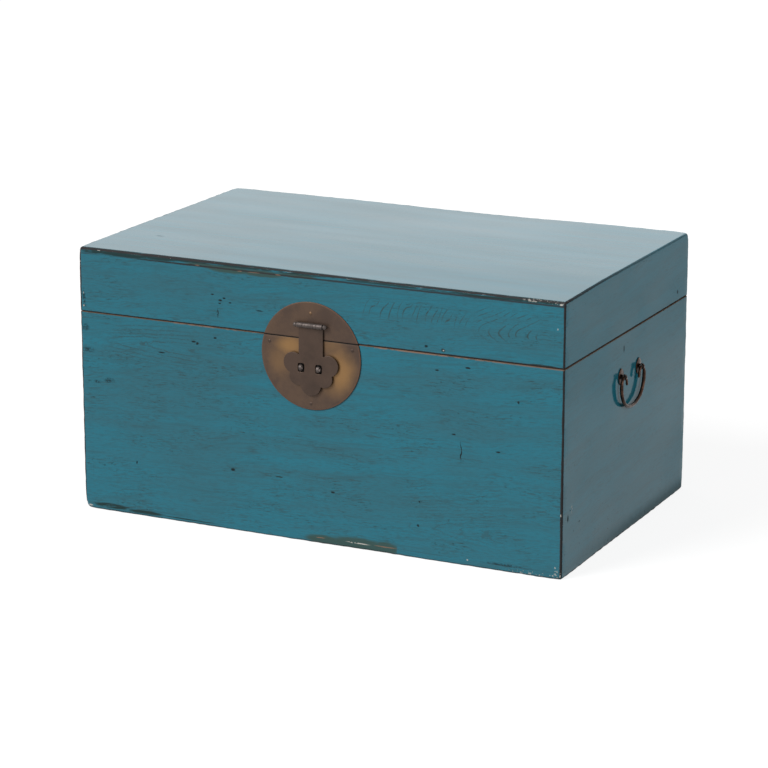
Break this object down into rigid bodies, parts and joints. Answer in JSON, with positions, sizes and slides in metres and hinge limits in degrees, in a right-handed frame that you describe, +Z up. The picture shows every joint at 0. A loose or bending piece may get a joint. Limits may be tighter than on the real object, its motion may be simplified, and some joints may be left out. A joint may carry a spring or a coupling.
{
  "type": "elm trunk",
  "caption": "Lacquered wooden storage trunk with a hinged lid, a round brass lock plate with a cloud-shaped hasp, and a swinging drop handle on each end.",
  "frame": {"origin": "middle of the underside of the case, on the surface that it stands on", "axes": "+X along the length to the right of someone facing the lock, +Y from the front to the back, +Z up"},
  "size_m": [0.8212, 0.5194, 0.415],
  "materials": {
    "lacquer": "teal lacquer over open-grained elm, worn brown at the edges",
    "bare_elm": "bare brown elm",
    "aged_brass": "brown patina",
    "steel": "dull grey",
    "dark_iron": "dark brown, rubbed bright on the grip"
  },
  "bodies": {
    "box": {"back_board": "lacquer", "bottom_plank_back": "lacquer", "bottom_plank_front": "lacquer", "bottom_plank_middle": "lacquer", "front_board": "lacquer", "left_end_board": "lacquer", "left_handle_eye_back": "dark_iron", "left_handle_eye_front": "dark_iron", "left_handle_rosette_back": "dark_iron", "left_handle_rosette_front": "dark_iron", "left_hinge_lower_leaf": "aged_brass", "left_hinge_lower_leaf_nail_left": "aged_brass", "left_hinge_lower_leaf_nail_middle": "aged_brass", "left_hinge_lower_leaf_nail_right": "aged_brass", "left_hinge_pin": "aged_brass", "lock_staple_left": "steel", "lock_staple_right": "steel", "lower_lock_plate": "aged_brass", "lower_plate_nail_bottom": "aged_brass", "lower_plate_nail_left": "aged_brass", "lower_plate_nail_right": "aged_brass", "right_end_board": "lacquer", "right_handle_eye_back": "dark_iron", "right_handle_eye_front": "dark_iron", "right_handle_rosette_back": "dark_iron", "right_handle_rosette_front": "dark_iron", "right_hinge_lower_leaf": "aged_brass", "right_hinge_lower_leaf_nail_left": "aged_brass", "right_hinge_lower_leaf_nail_middle": "aged_brass", "right_hinge_lower_leaf_nail_right": "aged_brass", "right_hinge_pin": "aged_brass"},
    "lid": {"hasp_eye_left": "aged_brass", "hasp_eye_right": "aged_brass", "hasp_pin": "steel", "left_hinge_upper_leaf": "aged_brass", "left_hinge_upper_leaf_nail_left": "aged_brass", "left_hinge_upper_leaf_nail_middle": "aged_brass", "left_hinge_upper_leaf_nail_right": "aged_brass", "lid_back_rail": "lacquer", "lid_batten_left": "bare_elm", "lid_batten_right": "bare_elm", "lid_front_rail": "lacquer", "lid_left_rail": "lacquer", "lid_right_rail": "lacquer", "lid_top_plank_back": "lacquer", "lid_top_plank_front": "lacquer", "right_hinge_upper_leaf": "aged_brass", "right_hinge_upper_leaf_nail_left": "aged_brass", "right_hinge_upper_leaf_nail_middle": "aged_brass", "right_hinge_upper_leaf_nail_right": "aged_brass", "upper_lock_plate": "aged_brass", "upper_plate_nail": "aged_brass"},
    "hasp": {"hasp": "aged_brass"},
    "left_bail": {"left_bail": "dark_iron"},
    "right_bail": {"right_bail": "dark_iron"}
  },
  "joints": [
    {"name": "lid_hinge", "type": "hinge", "parent": "box", "child": "lid", "pos_m": [0, 0.2544, 0.315], "axis": [-1, 0, 0], "range_deg": [0, 105]},
    {"name": "hasp_hinge", "type": "hinge", "parent": "lid", "child": "hasp", "pos_m": [-0.0015, -0.257, 0.3365], "axis": [-1, 0, 0], "range_deg": [-0.8, 170]},
    {"name": "left_bail_hinge", "type": "hinge", "parent": "box", "child": "left_bail", "pos_m": [-0.4063, 0.0045, 0.2515], "axis": [0, 1, 0], "range_deg": [-2.5, 175]},
    {"name": "right_bail_hinge", "type": "hinge", "parent": "box", "child": "right_bail", "pos_m": [0.4063, 0.0045, 0.2515], "axis": [0, -1, 0], "range_deg": [-2.5, 175]}
  ]
}
